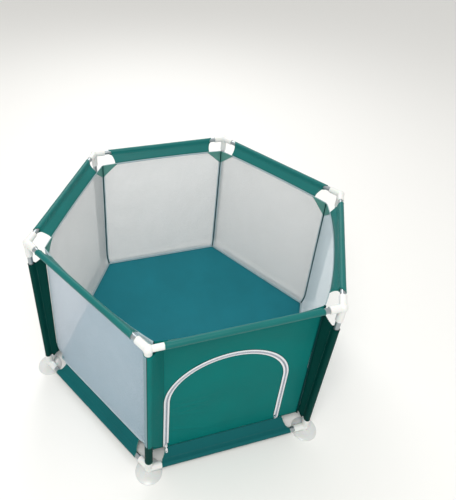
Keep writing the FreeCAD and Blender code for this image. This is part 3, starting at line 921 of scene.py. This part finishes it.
def front_panel():
    """The front wall's cloth round the doorway, in lines from the zip out to its edge."""
    half, rise = ARCH_HALF + FABRIC_SETBACK, ARCH_RISE + FABRIC_SETBACK
    legs = np.linspace(0, ARCH_SPRING, 28)
    inner = [(ARCH_MIDDLE - half, y) for y in legs[:-1]]
    inner += [(ARCH_MIDDLE + half * math.cos(a), ARCH_SPRING + rise * math.sin(a))
              for a in corner_rays()]
    inner += [(ARCH_MIDDLE + half, y) for y in legs[::-1][1:]]
    rows = []
    for x, y in inner:
        ex, ey = panel_edge(x, y)
        row = []
        gap = math.hypot(ex - x, ey - y)
        for t in np.linspace(0, 1, 18):
            px, py = x + (ex - x) * t, y + (ey - y) * t
            relief = panel_relief(px, py, gap * t, gap * (1 - t)) * ease(py / 0.03)
            row.append(on_panel(px, py, relief))
        rows.append(row)
    points = np.array(rows)
    panel = panel_sheet("front_panel_cloth", points)
    on_root(panel, ["front_panel"])
    border = [[on_panel(panel_half(y) + PANEL_INSET, y, 0.0012)
               for y in np.linspace(0.001, PANEL_HEIGHT - 0.001, 40)]]
    edge = cord("front_panel_seams", border, 0.0034, SEAM_AND_SHADOW)
    on_root(edge)


def front_wrap():
    """The front cloth's left margin, which goes round the corner post from the wall."""
    rows = []
    for t in np.linspace(0, 1, 48):
        z = WRAP_LOW + (WRAP_HIGH - WRAP_LOW) * t
        wall_z = WRAP_WALL_LOW + (WRAP_WALL_HIGH - WRAP_WALL_LOW) * t
        y = (wall_z - DOOR_FOOT[1]) / PANEL_UP.z
        row = []
        for angle in np.linspace(*WRAP_TURNS, 9):
            turn = math.radians(angle)
            row.append(Vector((-SIDE / 2, -APOTHEM, z))
                       + Vector((math.cos(turn), math.sin(turn), 0)) * (WIDE_SLEEVE_R + 0.0009))
        inner, start = on_panel(WRAP_INNER_X, y, 0.0004), row[-1]
        for c in np.linspace(0, 1, 16)[1:]:
            bulge = math.sin(math.pi * min(1.0, c * 1.4)) * 0.0012 if c < 0.72 else 0.0
            row.append(start.lerp(inner, c) + Vector((0.79, -0.61, 0)) * bulge)
        rows.append(row)
    wrap = sheet_grid("front_wrap_cloth", rows, PANEL, 0.0006)
    on_root(wrap)


def fold_with_door(piece):
    """Bakes the piece's placement into its mesh; the piece is left on no body."""
    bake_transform(piece)


def door_relief(x, y, from_edge):
    """How far the door's cloth stands out: soft folds, and creases at its left."""
    fade = ease(from_edge / 0.03) * ease((y - 0.03) / 0.05)
    soft = ripple(x * 5, y * 6, 0.7, 9) * 0.0032
    left = ease((ARCH_MIDDLE + 0.02 - x) / 0.16)
    creases = 0.0
    for middle, slope, strength in DOOR_CREASES:
        off = (y - middle + (x + 0.16) * slope) / 0.0045
        creases += strength * math.exp(-off * off)
    return (soft + creases * left * 0.0026) * fade


def door_flap():
    """The door's cloth, from the wall's foot up to the arch."""
    half, rise = ARCH_HALF - FABRIC_SETBACK, ARCH_RISE - FABRIC_SETBACK
    ys = list(np.linspace(0.0, 0.044, 23)) + list(np.linspace(0.05, ARCH_SPRING, 34))
    ys += [ARCH_SPRING + rise * math.sin(a) for a in np.linspace(0, math.pi / 2 - 0.02, 40)[1:]]
    rows = []
    for y in ys:
        lift = max(y - ARCH_SPRING, 0) / rise
        reach = half * math.sqrt(max(1 - lift * lift, 0)) - 0.0024 * (1 - ease((y - 0.02) / 0.014))
        row = []
        for c in np.linspace(-1, 1, 61):
            c = math.sin(c * math.pi / 2) * 0.35 + c * 0.65
            x = ARCH_MIDDLE + c * reach
            edge = min(reach * (1 - abs(c)), (ys[-1] - y) + 0.004)
            row.append(on_panel(x, y, door_relief(x, y, edge)))
        rows.append(row)
    points = np.array(rows)
    flap = panel_sheet("door_flap_cloth", points)
    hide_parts("door_flap")
    fold_with_door(flap)


def zip_half(name, hand, node):
    """Half a zip: its tape, a row of interlocking coil turns, the coil's cord, two rows of
    stitches and a dark cord along the tape's outer edge as its painted shadow. hand is 1 for
    the wall's half and -1 for the door's."""
    start = 0.0005 if hand > 0 else DOOR_LINE + 0.0004
    rows = []
    for offset, z in ((0.0006, 0.0011), (0.0022, 0.0012), (0.0035, 0.0011), (0.0060, 0.0010),
                      (0.0090, 0.0009), (0.0094, 0.0007)):
        rows.append([on_panel(x, y, z) for x, y in arch_path(offset * hand, start)])
    if hand > 0:
        rows = rows[::-1]
    points = np.array(rows)
    band = sheet_grid(name + "_tape", points, TAPE, 0.0006)

    path = arch_path(0.0, max(start, 0.0045) + 0.0004, 40, 90)
    pitch, teeth = 0.0017, []
    line = [on_panel(x, y, 0.0) for x, y in path]
    middles, steps = even_points(line, pitch)
    for p, t in zip(middles, steps):
        t = Vector(t)
        away = t.cross(PANEL_OUT) * (-1 if hand > 0 else 1)
        middle = Vector(p) + t * (pitch / 2 if hand > 0 else 0) + away * 0.0016 + PANEL_OUT * 0.0017
        teeth.append((middle, away * 0.0018, t * 0.00058, PANEL_OUT * 0.00062))
    verts, faces, uv = lozenges(teeth)
    cords = [[on_panel(x, y, 0.0021)
              for x, y in arch_path(0.0026 * hand, max(start, 0.005), 40, 90)]]
    more_verts, more_faces, more_uv = tube_along(cords, 0.00045, 6)
    faces += [tuple(i + len(verts) for i in f) for f in more_faces]
    coil = make(name + "_coil", verts + more_verts, faces, COIL, uv + more_uv)

    items = []
    for offset in (0.0050, 0.0080):
        line = [on_panel(x, y, 0.00135) for x, y in arch_path(offset * hand, start + 0.002, 40, 90)]
        items += stitch_line(line, PANEL_OUT, 0.0032, 0.0023, 0.00045)
    sewing = grains(name + "_stitches", items, PALE_THREAD)
    # Painted shadow: a dark cord along the tape's outer edge stands in for the shadow line there.
    shadow_line_low = start if hand > 0 else DOOR_LINE + 0.003
    line = [on_panel(x, y, 0.0006) for x, y in arch_path(TAPE_WIDTH * hand, shadow_line_low, 40, 90)]
    edge = cord(name + "_edge", [line], 0.0008, SEAM_AND_SHADOW, 6)
    for piece, slot in ((band, "zip_tape"), (coil, "zip_tape"), (sewing, "zip_tape"),
                        (edge, "green_cloth")):
        if hand > 0:
            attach(piece, "root")
        else:
            fold_with_door(piece)
    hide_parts(node)


# --- everything together ---

for side in range(1, 6):
    net_wall(side)
    gussets(side)
for corner in range(6):
    corner_seam(corner)
    post_sleeve(corner)
for side, name in enumerate(SIDES):
    bare = (RAIL_BARE_NEAR if side == FRONT else RAIL_BARE, RAIL_BARE)
    foot = {FRONT: DOOR_FOOT, FRONT_LEFT: LEFT_FOOT}.get(side, WALL_FLOOR)
    top_seam, low_seam = ((radius * COS30 + SEAM_OUT, z) for radius, z in (WALL_TOP, foot))
    rail_sleeve("top_sleeve_cloth_" + name, side, RAIL_TOP, top_seam,
                RAIL, ["top_sleeve_" + name], bare)
    rail_sleeve("bottom_sleeve_cloth_" + name, side, RAIL_LOW, low_seam,
                BASE, ["bottom_sleeves"], bare)
floor_cloth()
front_panel()
front_wrap()
door_flap()
zip_half("zip_wall", 1, "zip_tape_panel")
zip_half("zip_door", -1, "zip_tape_door")


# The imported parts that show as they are, by how their names start.
HARD_PARTS = (("top_connector", PLASTIC), ("bottom_connector", PLASTIC), ("suction_foot", FOOT),
              ("post_tube", TUBE), ("top_rail_tube", TUBE), ("bottom_rail_tube", TUBE),
              ("zip_end_stops", METAL), ("zip_slider", METAL), ("pull_tab", METAL))
for name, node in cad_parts.items():
    for start, material in HARD_PARTS:
        if name.startswith(start):
            node.data.materials.clear()
            node.data.materials.append(material)

# --- floor, light and camera ---

pale_floor = Graph("pale_floor")
pale_floor.surface(Base_Color=(0.87, 0.87, 0.855, 1), Roughness=0.6)
ground = make("ground", [(-9, -9, 0), (9, -9, 0), (9, 9, 0), (-9, 9, 0)], [(0, 1, 2, 3)],
              pale_floor.material)

world = bpy.data.worlds.new("studio")
bpy.context.scene.world = world
world.use_nodes = True
world.node_tree.nodes["Background"].inputs[0].default_value = (1.0, 0.99, 0.965, 1)
world.node_tree.nodes["Background"].inputs[1].default_value = 0.74


def soft_light(name, place, aim, size, power, colour=(1, 1, 1)):
    """A round area light, aimed at a point."""
    data = bpy.data.lights.new(name, "AREA")
    data.shape, data.size, data.energy, data.color = "DISK", size, power, colour
    light = bpy.data.objects.new(name, data)
    light.location = place
    light.rotation_euler = (Vector(aim) - Vector(place)).to_track_quat("-Z", "Y").to_euler()
    bpy.context.scene.collection.objects.link(light)


soft_light("key", (-0.9, -1.9, 3.4), (0, 0, 0.2), 1.6, 70.0, (1.0, 0.985, 0.96))
soft_light("back", (0.4, 2.6, 2.8), (0, 0, 0.3), 1.8, 40.0)

# The camera's angles and place, from a fit to the hexagon's corners.
AZIMUTH, ELEVATION, ROLL = (math.radians(a) for a in (-16.701, 35.353, 1.952))
CAMERA_PLACE = Vector((-0.4883, -1.3529, 1.8256))
back = Vector((math.sin(AZIMUTH) * math.cos(ELEVATION), -math.cos(AZIMUTH) * math.cos(ELEVATION),
               math.sin(ELEVATION)))
right = Vector((math.cos(AZIMUTH), math.sin(AZIMUTH), 0))
up = back.cross(right)
right, up = (right * math.cos(ROLL) + up * math.sin(ROLL),
             up * math.cos(ROLL) - right * math.sin(ROLL))
lens = bpy.data.cameras.new("camera")
lens.lens, lens.sensor_width, lens.sensor_fit = 35.994, 36.0, "AUTO"
lens.shift_x, lens.shift_y = 0.1053, -0.1248
lens.clip_start, lens.clip_end = 0.05, 60
camera = bpy.data.objects.new("camera", lens)
facing = Matrix((right, up, back)).transposed().to_4x4()
camera.matrix_world = Matrix.Translation(CAMERA_PLACE) @ facing
bpy.context.scene.collection.objects.link(camera)
bpy.context.scene.camera = camera
bpy.context.scene.view_settings.view_transform = "Standard"
